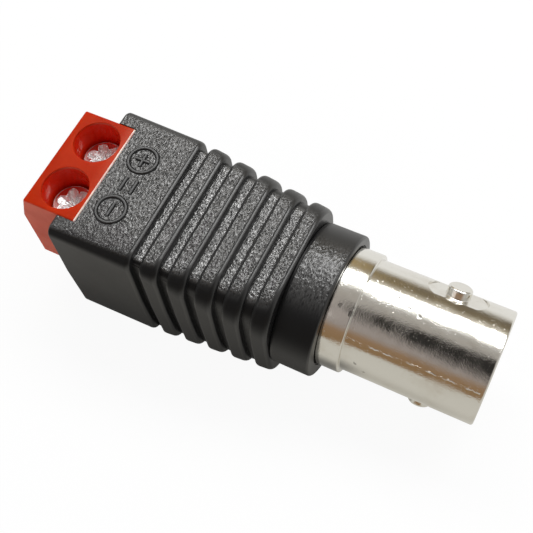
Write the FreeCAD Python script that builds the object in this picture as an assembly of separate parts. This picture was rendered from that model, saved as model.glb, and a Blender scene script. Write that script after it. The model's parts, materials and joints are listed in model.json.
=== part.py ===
import FreeCAD, Part
import math
import os

V = FreeCAD.Vector

# Adapter with a bayonet jack at one end and a two-pole screw terminal at the other.
# Millimetres. +X runs along the jack's axis and out of its mouth, +Z is up (screw side).
# The origin is the centre of the jack's mouth.

# Jack barrel: the sizes that a bayonet plug needs.
BARREL_R = 4.825
BARREL_BACK_X = -11.3
MOUTH_R = 4.22
MOUTH_STEP_X = -3.4
DEEP_BORE_R = 4.05
DEEP_BORE_X = -8.4
MOUTH_ROUND = 0.22
STUD_R = 0.98
STUD_TIP_R = 5.5
STUD_X = -4.65
STUD_ANGLE = 49.5
STUD_ROUND = 0.18
FLAT_R = 4.66
FLAT_LENGTH = 4.9
FLAT_WIDTH = 2.9
RING_R = 5.2
RING_BACK_X = -13.75
RING_EDGE = 0.12
SPIGOT_R = 4.2
SPIGOT_BACK_X = -21.5
SPIGOT_GROOVE_R = 3.75
SPIGOT_GROOVE_X = (-16.6, -19.2)
SPIGOT_GROOVE_W = 0.9
BUSH_R = 3.2
BUSH_FRONT_X = -19.1

# Insulator and centre contact.
INSULATOR_R = 2.4
INSULATOR_FRONT_X = -3.45
INSULATOR_ENTRY_R = 0.85
CONTACT_R = 1.05
CONTACT_FRONT_X = -3.9
CONTACT_BORE_R = 0.69
CONTACT_BORE_DEPTH = 5.0
CONTACT_SLOT_W = 0.2
CONTACT_SLOT_L = 4.2
CONTACT_NECK_R = 0.75
CONTACT_BACK_X = -23.6
CUP_R = 0.42
CUP_DEPTH = 1.6

# Ground tag staked on the back of the barrel.
TAG_R = 3.9
TAG_HOLE_R = 2.2
TAG_T = 0.4
TAG_TAB_W = 1.6
TAG_TAB_L = 2.2

# Moulded sleeve. Half sizes of its section at the rear, at the first groove and at the last rib.
SIDE_BACK_X = -36.4
TOP_BACK_X = -34.55
SEAT = 0.05
BLOCK_HALF_W = 6.8
BLOCK_HALF_H = 6.66
BLOCK_CORNER = 1.3
BLOCK_LOWER_CORNER = 1.0
REAR_HALF_W = 6.87
REAR_CORNER = 0.9
NOSE_HALF_W = 6.58
NOSE_HALF_H = 5.95
NOSE_CORNER = 3.8
NOSE_LOWER_CORNER = 3.3
SIDE_DRAFT = 0.16
FOOT_TRIM = 0.02
NOSE_SHIFT_Y = -0.12
REAR_ROUND = 0.3
RIBS = 5
GROOVE_X = -28.75
RIB_PITCH = 2.39
GROOVE_W = 0.85
GROOVE_DEPTH = 0.72
GROOVE_CORNER_SHARE = 0.8
BLOCK_FRONT_ROUND = 0.4
RIB_FRONT_ROUND = 0.36
RIB_BACK_ROUND = 0.16
COLLAR_HALF_W = 6.35
COLLAR_HALF_H = 5.85
COLLAR_SHIFT_Y = -0.15
COLLAR_FRONT_X = -13.3
COLLAR_ROUND = 0.22
COLLAR_LIP_R = 5.5
COLLAR_LIP_DEPTH = 0.12
RING_GAP = 0.07

# Raised marks on the sleeve's top.
MARK_H = 0.12
MARK_LINE = 0.15
MARK_R = 1.28
MARK_X = -32.3
PLUS_Y = 2.45
MINUS_Y = -2.75
SIGN_LENGTH = 1.3
DASH_X = (-32.85, -31.72)
DASH_Y = -0.15
DASH_LENGTH = 1.5

# Terminal housing.
POLES = {"plus": 1, "minus": -1}
POLE_Y = 2.5
HOUSING_HALF_W = 5.0
HOUSING_TOP = 6.65
HOUSING_BOTTOM = -2.65
HOUSING_TOP_BACK_X = -39.7
HOUSING_BACK_X = -40.75
HOUSING_SLOPE_Z = 3.7
HOUSING_STEP_X = TOP_BACK_X - SEAT
HOUSING_STEP_Z = 4.7
HOUSING_TONGUE_L = 2.0
HOUSING_FRONT_X = HOUSING_STEP_X + HOUSING_TONGUE_L
HOUSING_CORNER = 0.5
WELL_X = -37.08
WELL_R = 2.02
WELL_RIM = 0.15
CHAMBER_HALF_W = 1.95
CHAMBER_BACK_X = -39.6
CHAMBER_FRONT_X = -34.4
CHAMBER_TOP = 1.05
CHAMBER_BOTTOM = -2.35
ENTRY_HALF_W = 1.7
ENTRY_TOP = 0.35
ENTRY_BOTTOM = -1.85
ENTRY_FLARE = 0.3
TAIL_SLOT_HALF_W = 1.0

# Clamp in each pole.
BOX_HALF_W = 1.85
BOX_BACK_X = -39.3
BOX_FRONT_X = -34.7
BOX_TOP_T = 0.7
BOX_SIDE_T = 0.45
BOX_TOP = 1.0
BOX_FLOOR_TOP = -1.75
BOX_FLOOR_T = 0.5
TAIL_HALF_W = 0.6
TAIL_T = 0.5
TAIL_FRONT_X = -30.4
PLATE_HALF_W = 1.1
PLATE_HALF_L = 1.5
PLATE_TOP = 0.0
PLATE_T = 0.35
SCREW_R = 1.25
SCREW_FIT = 0.02
HEAD_R = 1.8
HEAD_TOP = 4.2
HEAD_H = 1.4
HEAD_CHAMFER = 0.12
RECESS_ARM_W = 0.8
RECESS_LENGTH = 3.0
RECESS_DEPTH = 0.7
RECESS_TURNS = (-2.0, 58.0, 118.0)
SCREW_TIP_GAP = 0.02

# Link wires from the terminal tails to the jack, and the room in the sleeve that holds them.
LINK_R = 0.35
LINK_LIFT = 0.02
LINK_BEND_R = 0.9
LINK_LAP = 1.5
LINK_START_X = TAIL_FRONT_X - LINK_LAP
CENTRE_BEND_X = -28.6
CENTRE_MEET_X = -26.6
CENTRE_LAP = 1.2
GROUND_BEND_X = -28.5
GROUND_MEET_X = -26.5
GROUND_GAP = 0.3
ROOM_FRONT_X = -26.0
ROOM_HALF_W = 3.9
ROOM_TOP = 3.6
OVERCUT = 1.0


def box(x0, x1, y0, y1, z0, z1):
    return Part.makeBox(x1 - x0, y1 - y0, z1 - z0, V(x0, y0, z0))


def rod_x(x0, x1, r, y=0.0, z=0.0):
    return Part.makeCylinder(r, x1 - x0, V(x0, y, z), V(1, 0, 0))


def rod_z(z0, z1, r, x, y):
    return Part.makeCylinder(r, z1 - z0, V(x, y, z0), V(0, 0, 1))


def corner_arc(p, before, after, r):
    """Start, middle and end of the arc of radius r that rounds the corner p."""
    u = (before - p).normalize()
    w = (after - p).normalize()
    half = math.acos(max(-1.0, min(1.0, u.dot(w)))) / 2
    start = p + u * (r / math.tan(half))
    end = p + w * (r / math.tan(half))
    inward = (u + w).normalize()
    middle = p + inward * (r / math.sin(half) - r)
    return start, middle, end


def rounded_outline(x, corners):
    """Closed wire in the plane x through (y, z, r) corners, each rounded by its own r."""
    pts = [V(x, y, z) for y, z, r in corners]
    n = len(pts)
    runs = []
    for i in range(n):
        r = corners[i][2]
        if r > 0:
            runs.append(corner_arc(pts[i], pts[i - 1], pts[(i + 1) % n], r))
        else:
            runs.append((pts[i], None, pts[i]))
    edges = []
    for i in range(n):
        start, middle, end = runs[i]
        if middle is not None:
            edges.append(Part.Arc(start, middle, end).toShape())
        edges.append(Part.makeLine(end, runs[(i + 1) % n][0]))
    return Part.Wire(edges)


def sleeve_size(x):
    """Half width, half height, upper and lower corner radius and sideways shift at x."""
    if x < GROOVE_X:
        t = (x - GROOVE_X) / (SIDE_BACK_X - GROOVE_X)
        half_w = BLOCK_HALF_W + (REAR_HALF_W - BLOCK_HALF_W) * t
        upper = BLOCK_CORNER + (REAR_CORNER - BLOCK_CORNER) * t
        return half_w, BLOCK_HALF_H, upper, BLOCK_LOWER_CORNER, 0.0
    t = (x - GROOVE_X) / (nose_x() - GROOVE_X)
    half_w = BLOCK_HALF_W + (NOSE_HALF_W - BLOCK_HALF_W) * t
    half_h = BLOCK_HALF_H + (NOSE_HALF_H - BLOCK_HALF_H) * t
    upper = BLOCK_CORNER + (NOSE_CORNER - BLOCK_CORNER) * t
    lower = BLOCK_LOWER_CORNER + (NOSE_LOWER_CORNER - BLOCK_LOWER_CORNER) * t
    return half_w, half_h, upper, lower, NOSE_SHIFT_Y * t


def nose_x():
    return GROOVE_X + RIBS * RIB_PITCH


def sleeve_outline(x, inset=0.0):
    half_w, half_h, upper, lower, shift = sleeve_size(x)
    mid = half_w - inset
    edge = mid - SIDE_DRAFT
    top = half_h - inset
    if inset > 0:
        upper = max(0.3, (upper - inset) * GROOVE_CORNER_SHARE)
        lower = max(0.3, (lower - inset) * GROOVE_CORNER_SHARE)
    corners = [(shift + edge, top, upper), (shift - edge, top, upper), (shift - mid, 0, 0),
               (shift - edge, -top, lower), (shift + edge, -top, lower), (shift + mid, 0, 0)]
    return rounded_outline(x, corners)


def sleeve_length(x0, x1, inset=0.0):
    return Part.makeLoft([sleeve_outline(x0, inset), sleeve_outline(x1, inset)], True, True)


def round_end(solid, x, r):
    """Round the edges of a solid that lie in the plane x."""
    rim = [e for e in solid.Edges if all(abs(v.X - x) < 1e-4 for v in e.Vertexes)]
    return solid.makeFillet(r, rim)


def ribs_and_core():
    body = sleeve_length(GROOVE_X - 1.0, nose_x() - 0.4, GROOVE_DEPTH)
    for i in range(RIBS):
        back = GROOVE_X + i * RIB_PITCH + GROOVE_W
        front = GROOVE_X + (i + 1) * RIB_PITCH
        rib = sleeve_length(back, front)
        rib = round_end(rib, front, RIB_FRONT_ROUND)
        rib = round_end(rib, back, RIB_BACK_ROUND)
        body = body.fuse(rib)
    return body


def collar():
    ellipse = Part.Ellipse(V(0, 0, 0), COLLAR_HALF_W, COLLAR_HALF_H).toShape()
    disc = Part.Face(Part.Wire([ellipse]))
    solid = disc.extrude(V(0, 0, COLLAR_FRONT_X - nose_x() + 0.6))
    solid.rotate(V(0, 0, 0), V(0, 0, 1), 90)
    solid.rotate(V(0, 0, 0), V(0, 1, 0), 90)
    solid.translate(V(nose_x() - 0.6, COLLAR_SHIFT_Y, 0))
    return round_end(solid, COLLAR_FRONT_X, COLLAR_ROUND)


def marks():
    z0 = BLOCK_HALF_H - 0.2
    z1 = BLOCK_HALF_H + MARK_H
    pieces = []
    for y in (PLUS_Y, MINUS_Y):
        ring = rod_z(z0, z1, MARK_R, MARK_X, y)
        pieces.append(ring.cut(rod_z(z0 - 1, z1 + 1, MARK_R - MARK_LINE, MARK_X, y)))
        pieces.append(mark_bar(MARK_X, y, SIGN_LENGTH))
    half = SIGN_LENGTH / 2
    w = MARK_LINE / 2
    pieces.append(box(MARK_X - half, MARK_X + half, PLUS_Y - w, PLUS_Y + w, z0, z1))
    for x in DASH_X:
        pieces.append(mark_bar(x, DASH_Y, DASH_LENGTH))
    return pieces


def mark_bar(x, y, length):
    w = MARK_LINE / 2
    return box(x - w, x + w, y - length / 2, y + length / 2,
               BLOCK_HALF_H - 0.2, BLOCK_HALF_H + MARK_H)


def sleeve_hollow():
    wide = HOUSING_HALF_W + SEAT
    floor = HOUSING_BOTTOM - SEAT
    pocket = box(SIDE_BACK_X - 1, HOUSING_FRONT_X + SEAT, -wide, wide, floor, HOUSING_STEP_Z + SEAT)
    notch = box(SIDE_BACK_X - 1, TOP_BACK_X, -wide, wide, floor, BLOCK_HALF_H + 1)
    links = box(HOUSING_FRONT_X - OVERCUT, ROOM_FRONT_X, -ROOM_HALF_W, ROOM_HALF_W, floor, ROOM_TOP)
    throat = rod_x(ROOM_FRONT_X - OVERCUT, SPIGOT_BACK_X, SPIGOT_R)
    seat = rod_x(SPIGOT_BACK_X - 0.1, COLLAR_FRONT_X + 1, SPIGOT_R + 0.02)
    ring = rod_x(RING_BACK_X - SEAT, COLLAR_FRONT_X + 1, RING_R + RING_GAP)
    lip = rod_x(COLLAR_FRONT_X - COLLAR_LIP_DEPTH, COLLAR_FRONT_X + 1, COLLAR_LIP_R)
    return [pocket, notch, links, throat, seat, ring, lip]


def below_foot():
    """What is shaved off the block's underside, so that it lies on a true plane."""
    wide = REAR_HALF_W + OVERCUT
    return box(SIDE_BACK_X - OVERCUT, GROOVE_X + OVERCUT, -wide, wide,
               -BLOCK_HALF_H - OVERCUT, -BLOCK_HALF_H + FOOT_TRIM)


def sleeve():
    block = sleeve_length(SIDE_BACK_X, GROOVE_X)
    block = round_end(block, GROOVE_X, BLOCK_FRONT_ROUND)
    block = round_end(block, SIDE_BACK_X, REAR_ROUND)
    block = block.cut(below_foot())
    body = block.fuse([ribs_and_core(), collar()] + marks())
    top_cut = box(SIDE_BACK_X - 1, TOP_BACK_X, -HOUSING_HALF_W - SEAT, HOUSING_HALF_W + SEAT,
                  HOUSING_STEP_Z, BLOCK_HALF_H + 1)
    return body.cut([top_cut] + sleeve_hollow()).removeSplitter()


def barrel():
    outer = rod_x(BARREL_BACK_X - 0.2, 0, BARREL_R)
    outer = round_end(outer, 0, MOUTH_ROUND)
    ring = rod_x(RING_BACK_X, BARREL_BACK_X, RING_R)
    ring = ring.makeChamfer(RING_EDGE, [e for e in ring.Edges if e.BoundBox.XMin > BARREL_BACK_X - 0.01])
    spigot = rod_x(SPIGOT_BACK_X, RING_BACK_X, SPIGOT_R)
    for x in SPIGOT_GROOVE_X:
        groove = rod_x(x - SPIGOT_GROOVE_W / 2, x + SPIGOT_GROOVE_W / 2, SPIGOT_R + 1)
        spigot = spigot.cut(groove.cut(rod_x(x - SPIGOT_GROOVE_W, x + SPIGOT_GROOVE_W, SPIGOT_GROOVE_R)))
    body = outer.fuse([ring, spigot])
    for turn in (0, 180):
        body = body.cut(stud_flat(turn))
        body = body.fuse(stud(turn))
    bores = [rod_x(MOUTH_STEP_X, 1, MOUTH_R), rod_x(DEEP_BORE_X, 0, DEEP_BORE_R),
             rod_x(SPIGOT_BACK_X - 1, 0, INSULATOR_R + 0.01), rod_x(SPIGOT_BACK_X - 1, BUSH_FRONT_X, BUSH_R)]
    return body.cut(bores).removeSplitter()


def turned(solid, turn):
    """Turn a solid built along +Y about the jack's axis to the stud's angle."""
    solid.rotate(V(0, 0, 0), V(1, 0, 0), STUD_ANGLE + turn)
    return solid


def stud(turn):
    peg = Part.makeCylinder(STUD_R, STUD_TIP_R - FLAT_R + 0.3, V(STUD_X, FLAT_R - 0.3, 0), V(0, 1, 0))
    tip = [e for e in peg.Edges if e.BoundBox.YMin > STUD_TIP_R - 0.01]
    return turned(peg.makeFillet(STUD_ROUND, tip), turn)


def stud_flat(turn):
    r = FLAT_WIDTH / 2
    reach = FLAT_LENGTH / 2 - r
    middle = box(STUD_X - reach, STUD_X + reach, FLAT_R, FLAT_R + 1, -r, r)
    ends = [Part.makeCylinder(r, 1, V(STUD_X + s * reach, FLAT_R, 0), V(0, 1, 0)) for s in (-1, 1)]
    return turned(middle.fuse(ends), turn)


def insulator():
    body = rod_x(BUSH_FRONT_X, INSULATOR_FRONT_X, INSULATOR_R)
    body = round_end(body, INSULATOR_FRONT_X, 0.2)
    entry = rod_x(CONTACT_FRONT_X - 0.1, 0, INSULATOR_ENTRY_R)
    funnel = Part.makeCone(INSULATOR_ENTRY_R, INSULATOR_ENTRY_R + 0.25, 0.25,
                           V(INSULATOR_FRONT_X - 0.25, 0, 0), V(1, 0, 0))
    seat = rod_x(BUSH_FRONT_X - 1, CONTACT_FRONT_X + 0.05, CONTACT_R + 0.01)
    return body.cut([entry, funnel, seat])


def bush():
    ring = rod_x(SPIGOT_BACK_X, BUSH_FRONT_X, BUSH_R)
    return ring.cut(rod_x(SPIGOT_BACK_X - 1, 0, CONTACT_NECK_R + 0.01))


def centre_contact():
    body = rod_x(BUSH_FRONT_X, CONTACT_FRONT_X, CONTACT_R)
    body = round_end(body, CONTACT_FRONT_X, 0.12)
    body = body.fuse(rod_x(CONTACT_BACK_X, BUSH_FRONT_X, CONTACT_NECK_R))
    body = body.cut(rod_x(CONTACT_FRONT_X - CONTACT_BORE_DEPTH, 0, CONTACT_BORE_R))
    w = CONTACT_SLOT_W / 2
    for turn in (0, 90):
        slot = box(CONTACT_FRONT_X - CONTACT_SLOT_L, 0, -3, 3, -w, w)
        slot.rotate(V(0, 0, 0), V(1, 0, 0), turn)
        body = body.cut(slot)
    return body.cut(rod_x(CONTACT_BACK_X - 1, CONTACT_BACK_X + CUP_DEPTH, CUP_R))


def ground_tag():
    disc = rod_x(SPIGOT_BACK_X - TAG_T, SPIGOT_BACK_X, TAG_R)
    disc = disc.cut(rod_x(SPIGOT_BACK_X - 1, SPIGOT_BACK_X + 1, TAG_HOLE_R))
    w = TAG_TAB_W / 2
    tab = box(SPIGOT_BACK_X - TAG_TAB_L, SPIGOT_BACK_X, -POLE_Y - w, -POLE_Y + w,
              tail_z() - TAG_T, tail_z())
    return disc.fuse(tab).removeSplitter()


def tail_z():
    """Height of the underside of the terminal tails."""
    return BOX_FLOOR_TOP - BOX_FLOOR_T


def housing_profile():
    pts = [V(HOUSING_TOP_BACK_X, 0, HOUSING_TOP), V(HOUSING_BACK_X, 0, HOUSING_SLOPE_Z),
           V(HOUSING_BACK_X - 0.1, 0, HOUSING_BOTTOM), V(HOUSING_FRONT_X, 0, HOUSING_BOTTOM),
           V(HOUSING_FRONT_X, 0, HOUSING_STEP_Z), V(HOUSING_STEP_X, 0, HOUSING_STEP_Z),
           V(HOUSING_STEP_X, 0, HOUSING_TOP)]
    return Part.Face(Part.makePolygon(pts + [pts[0]]))


def housing():
    body = housing_profile()
    body.translate(V(0, -HOUSING_HALF_W, 0))
    body = body.extrude(V(0, 2 * HOUSING_HALF_W, 0))
    corner = [e for e in body.Edges if e.BoundBox.ZMax < HOUSING_BOTTOM + 0.01
              and e.BoundBox.XMax < HOUSING_BACK_X]
    body = body.makeFillet(HOUSING_CORNER, corner)
    lip = [e for e in body.Edges if e.BoundBox.ZMin > HOUSING_TOP - 0.01 and e.BoundBox.YLength > 1]
    body = body.makeFillet(0.15, lip)
    cuts = []
    for side in POLES.values():
        cuts.extend(pole_cuts(side * POLE_Y))
    return body.cut(cuts).removeSplitter()


def pole_cuts(y):
    well = rod_z(CHAMBER_TOP - 0.1, HOUSING_TOP + 1, WELL_R, WELL_X, y)
    rim = Part.makeCone(WELL_R, WELL_R + 2 * WELL_RIM, 2 * WELL_RIM,
                        V(WELL_X, y, HOUSING_TOP - WELL_RIM), V(0, 0, 1))
    half = CHAMBER_HALF_W
    chamber = box(CHAMBER_BACK_X, CHAMBER_FRONT_X, y - half, y + half, CHAMBER_BOTTOM, CHAMBER_TOP)
    slot = box(CHAMBER_FRONT_X - 0.1, HOUSING_FRONT_X + 1, y - TAIL_SLOT_HALF_W, y + TAIL_SLOT_HALF_W,
               CHAMBER_BOTTOM, -1.2)
    return [well, rim, chamber, slot, wire_entry(y)]


def wire_entry(y):
    w = ENTRY_HALF_W
    hole = box(HOUSING_BACK_X - 1, CHAMBER_BACK_X + 0.1, y - w, y + w, ENTRY_BOTTOM, ENTRY_TOP)
    flare_x = HOUSING_BACK_X + 0.6
    inner = Part.makePolygon(flat_rectangle(flare_x, y, w, ENTRY_BOTTOM, ENTRY_TOP))
    f = ENTRY_FLARE
    outer = Part.makePolygon(flat_rectangle(HOUSING_BACK_X - 0.2, y, w + f, ENTRY_BOTTOM - f, ENTRY_TOP + f))
    return hole.fuse(Part.makeLoft([inner, outer], True, True))


def flat_rectangle(x, y, w, z0, z1):
    pts = [V(x, y - w, z0), V(x, y + w, z0), V(x, y + w, z1), V(x, y - w, z1)]
    return pts + [pts[0]]


def clamp_box(y):
    """Bent contact with a threaded top, two sides, a floor and a solder tail."""
    w = BOX_HALF_W
    floor_bottom = BOX_FLOOR_TOP - BOX_FLOOR_T
    shell = box(BOX_BACK_X, BOX_FRONT_X, y - w, y + w, floor_bottom, BOX_TOP)
    inner = w - BOX_SIDE_T
    window = box(BOX_BACK_X - 1, BOX_FRONT_X + 1, y - inner, y + inner, BOX_FLOOR_TOP, BOX_TOP - BOX_TOP_T)
    thread = rod_z(BOX_TOP - 1, BOX_TOP + 1, SCREW_R + SCREW_FIT, WELL_X, y)
    tail = box(BOX_FRONT_X - 0.1, TAIL_FRONT_X, y - TAIL_HALF_W, y + TAIL_HALF_W,
               floor_bottom, floor_bottom + TAIL_T)
    return shell.cut([window, thread]).fuse(tail).removeSplitter()


def pressure_plate(y):
    plate = box(WELL_X - PLATE_HALF_L, WELL_X + PLATE_HALF_L, y - PLATE_HALF_W, y + PLATE_HALF_W,
                PLATE_TOP - PLATE_T, PLATE_TOP)
    ends = [e for e in plate.Edges if e.BoundBox.YLength > 1 and e.BoundBox.ZMax < PLATE_TOP - 0.1]
    return plate.makeFillet(0.25, ends)


def clamp_screw(y):
    head = rod_z(HEAD_TOP - HEAD_H, HEAD_TOP, HEAD_R, WELL_X, y)
    top = [e for e in head.Edges if e.BoundBox.ZMin > HEAD_TOP - 0.01]
    head = head.makeChamfer(HEAD_CHAMFER, top)
    tip_z = PLATE_TOP + SCREW_TIP_GAP
    shank = rod_z(tip_z, HEAD_TOP - HEAD_H, SCREW_R, WELL_X, y)
    tip = [e for e in shank.Edges if e.BoundBox.ZMax < tip_z + 0.01]
    shank = shank.makeChamfer(0.2, tip)
    return head.fuse(shank).cut([recess_bar(y, turn) for turn in RECESS_TURNS]).removeSplitter()


def recess_bar(y, turn):
    """One of the three bars that cross in the head's six-armed recess."""
    w = RECESS_ARM_W / 2
    half = RECESS_LENGTH / 2
    bar = box(WELL_X - half, WELL_X + half, y - w, y + w, HEAD_TOP - RECESS_DEPTH, HEAD_TOP + OVERCUT)
    bar.rotate(V(WELL_X, y, 0), V(0, 0, 1), turn)
    return bar


def wire(points, bend):
    """Round wire along straight runs, with each corner bent to the same radius."""
    pts = [V(*p) for p in points]
    edges = []
    last = pts[0]
    for i in range(1, len(pts) - 1):
        start, middle, end = corner_arc(pts[i], pts[i - 1], pts[i + 1], bend)
        edges.append(Part.makeLine(last, start))
        edges.append(Part.Arc(start, middle, end).toShape())
        last = end
    edges.append(Part.makeLine(last, pts[-1]))
    path = Part.Wire(edges)
    ring = Part.Circle(pts[0], pts[1] - pts[0], LINK_R).toShape()
    return path.makePipeShell([Part.Wire([ring])], True, False)


def centre_link():
    z = tail_z() + TAIL_T + LINK_R + LINK_LIFT
    return wire([(LINK_START_X, POLE_Y, z), (CENTRE_BEND_X, POLE_Y, z), (CENTRE_MEET_X, 0, 0),
                 (CONTACT_BACK_X + CENTRE_LAP, 0, 0)], LINK_BEND_R)


def ground_link():
    z = tail_z() + TAIL_T + LINK_R + LINK_LIFT
    tab_z = tail_z() + LINK_R + LINK_LIFT
    return wire([(LINK_START_X, -POLE_Y, z), (GROUND_BEND_X, -POLE_Y, z), (GROUND_MEET_X, -POLE_Y, tab_z),
                 (SPIGOT_BACK_X - TAG_T - GROUND_GAP, -POLE_Y, tab_z)], LINK_BEND_R)


def build():
    parts = {
        "body_sleeve": sleeve(),
        "terminal_housing": housing(),
        "jack_barrel": barrel(),
        "jack_insulator": insulator(),
        "rear_bush": bush(),
        "centre_contact": centre_contact(),
        "ground_tag": ground_tag(),
        "centre_link": centre_link(),
        "ground_link": ground_link(),
    }
    for name, side in POLES.items():
        parts["clamp_box_" + name] = clamp_box(side * POLE_Y)
        parts["pressure_plate_" + name] = pressure_plate(side * POLE_Y)
        parts["clamp_screw_" + name] = clamp_screw(side * POLE_Y)
    return parts


os.makedirs("parts", exist_ok=True)
for node, shape in build().items():
    if len(shape.Solids) == 1:
        shape = shape.Solids[0]
    shape.exportStep("parts/" + node + ".step")
    print(node, "valid", shape.isValid(), "solids", len(shape.Solids), "volume %.1f" % shape.Volume)
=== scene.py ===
# %% [markdown]
# # A jack to screw terminal adapter
#
# The adapter is about 41 mm long. A nickel-plated bayonet jack sits at one end, a red screw
# terminal for two bare wires at the other, and a black moulded sleeve with five ribs joins them.
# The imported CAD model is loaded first. It is the fixed frame: every piece that is made here goes
# round it, in metres, with +X out of the jack and +Z up on the side with the screws.

import json
import math
import random

import bmesh
import bpy
from mathutils import Matrix, Vector


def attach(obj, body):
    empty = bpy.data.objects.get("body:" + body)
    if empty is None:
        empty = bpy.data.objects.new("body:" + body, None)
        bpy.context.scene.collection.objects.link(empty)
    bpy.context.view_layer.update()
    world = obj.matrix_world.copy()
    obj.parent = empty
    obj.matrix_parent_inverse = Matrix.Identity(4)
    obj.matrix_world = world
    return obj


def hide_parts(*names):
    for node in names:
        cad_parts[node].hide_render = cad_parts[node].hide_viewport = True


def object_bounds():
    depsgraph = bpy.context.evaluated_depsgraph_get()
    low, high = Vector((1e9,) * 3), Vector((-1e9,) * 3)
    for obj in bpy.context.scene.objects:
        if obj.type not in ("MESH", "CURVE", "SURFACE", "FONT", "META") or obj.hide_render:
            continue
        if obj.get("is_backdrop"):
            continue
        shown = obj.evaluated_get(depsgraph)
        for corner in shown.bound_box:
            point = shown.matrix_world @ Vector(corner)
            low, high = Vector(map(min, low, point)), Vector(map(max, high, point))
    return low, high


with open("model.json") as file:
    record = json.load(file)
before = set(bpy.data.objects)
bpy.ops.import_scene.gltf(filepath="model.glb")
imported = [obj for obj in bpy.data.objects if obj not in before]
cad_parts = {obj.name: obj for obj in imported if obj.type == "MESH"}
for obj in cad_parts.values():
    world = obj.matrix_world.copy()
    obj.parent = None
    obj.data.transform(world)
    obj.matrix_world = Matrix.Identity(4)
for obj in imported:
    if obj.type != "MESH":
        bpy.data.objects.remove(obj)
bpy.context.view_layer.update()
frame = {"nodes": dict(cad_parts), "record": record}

# %% [markdown]
# ## Formulas inside node trees
#
# The sleeve's shape and most of the finishes follow simple formulas. Wiring Math nodes by hand
# takes many lines, so this small class lets a node's output be added, multiplied and compared
# like a number. Geometry trees and material trees use the same Math node, so it serves both.

# %% A value that can be used in sums
class Value:
    def __init__(self, tree, socket):
        self.tree = tree
        self.socket = socket

    def do(self, operation, *others):
        node = self.tree.nodes.new("ShaderNodeMath")
        node.operation = operation
        for slot, item in zip(node.inputs, (self,) + others):
            plug(self.tree, item, slot)
        return Value(self.tree, node.outputs[0])

    def __add__(self, other):
        return self.do("ADD", other)

    def __sub__(self, other):
        return self.do("SUBTRACT", other)

    def __mul__(self, other):
        return self.do("MULTIPLY", other)

    def __truediv__(self, other):
        return self.do("DIVIDE", other)

    def rest(self):
        """What is left of 1 when this value is taken from it."""
        return (self * -1.0) + 1.0

    def above(self, other):
        return self.do("GREATER_THAN", other)

    def below(self, other):
        return self.do("LESS_THAN", other)

    def least(self, other):
        return self.do("MINIMUM", other)

    def most(self, other):
        return self.do("MAXIMUM", other)

    def ramp(self, low, high):
        """0 below low, 1 above high, and smooth between them."""
        node = self.tree.nodes.new("ShaderNodeMapRange")
        node.interpolation_type = "SMOOTHSTEP"
        for name, item in (("Value", self), ("From Min", low), ("From Max", high)):
            plug(self.tree, item, node.inputs[name])
        return Value(self.tree, node.outputs[0])


def plug(tree, item, slot):
    """Link a Value or a socket to a slot, or write a plain number or colour in it."""
    if isinstance(item, Value):
        tree.links.new(item.socket, slot)
    elif isinstance(item, bpy.types.NodeSocket):
        tree.links.new(item, slot)
    else:
        slot.default_value = item


def add(tree, kind, **inputs):
    """Add a node, fill its inputs by name, and give back its first outlet as a Value."""
    node = tree.nodes.new(kind)
    for name, item in inputs.items():
        plug(tree, item, node.inputs[name.replace("_", " ")])
    return Value(tree, node.outputs[0])


def vector(tree, x=0.0, y=0.0, z=0.0):
    return add(tree, "ShaderNodeCombineXYZ", X=x, Y=y, Z=z)


def parts_of(tree, socket):
    """The X, Y and Z of a vector, each as a Value."""
    node = tree.nodes.new("ShaderNodeSeparateXYZ")
    tree.links.new(socket, node.inputs[0])
    return [Value(tree, node.outputs[i]) for i in range(3)]


def against(tree, operation, socket, point):
    """One number from a vector and a fixed point: their DISTANCE or their DOT_PRODUCT."""
    node = tree.nodes.new("ShaderNodeVectorMath")
    node.operation = operation
    tree.links.new(socket, node.inputs[0])
    node.inputs[1].default_value = point
    return Value(tree, node.outputs[1])


def chosen(condition, yes, no):
    """yes where the condition is 1 and no where it is 0."""
    return condition * yes + condition.rest() * no


# %% [markdown]
# ## Finishes
#
# Every finish is procedural and reads Object coordinates, so it stays on the piece from any side
# and needs no picture. The patterns have their real sizes: a scale of 5000 is a cell of 0.2 mm,
# as in the sleeve's grain.

# %% Helpers for finishes
def finish(name, roughness, metallic=0.0, colour=(0.5, 0.5, 0.5)):
    """Start a material. Its plain colour and roughness are for a viewer that reads no nodes."""
    material = bpy.data.materials.new(name)
    material.use_nodes = True
    tree = material.node_tree
    shader = tree.nodes["Principled BSDF"]
    shader.inputs["Base Color"].default_value = (*colour, 1.0)
    shader.inputs["Roughness"].default_value = roughness
    shader.inputs["Metallic"].default_value = metallic
    place = tree.nodes.new("ShaderNodeTexCoord")
    return material, tree, shader, place


def noise(tree, place, scale, detail=3.0, roughness=0.5):
    return add(tree, "ShaderNodeTexNoise", Vector=place.outputs["Object"], Scale=scale,
               Detail=detail, Roughness=roughness)


def bump(tree, shader, height, strength, distance):
    """Wire a height, in the range 0 to 1, to the shader's normal."""
    node = tree.nodes.new("ShaderNodeBump")
    node.inputs["Strength"].default_value = strength
    node.inputs["Distance"].default_value = distance
    plug(tree, height, node.inputs["Height"])
    tree.links.new(node.outputs["Normal"], shader.inputs["Normal"])


def blend(tree, factor, first, second):
    node = tree.nodes.new("ShaderNodeMix")
    node.data_type = "RGBA"
    plug(tree, factor, node.inputs[0])
    for item, slot in ((first, node.inputs[6]), (second, node.inputs[7])):
        plug(tree, (*item, 1.0) if isinstance(item, tuple) else item, slot)
    return node.outputs[2]
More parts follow.
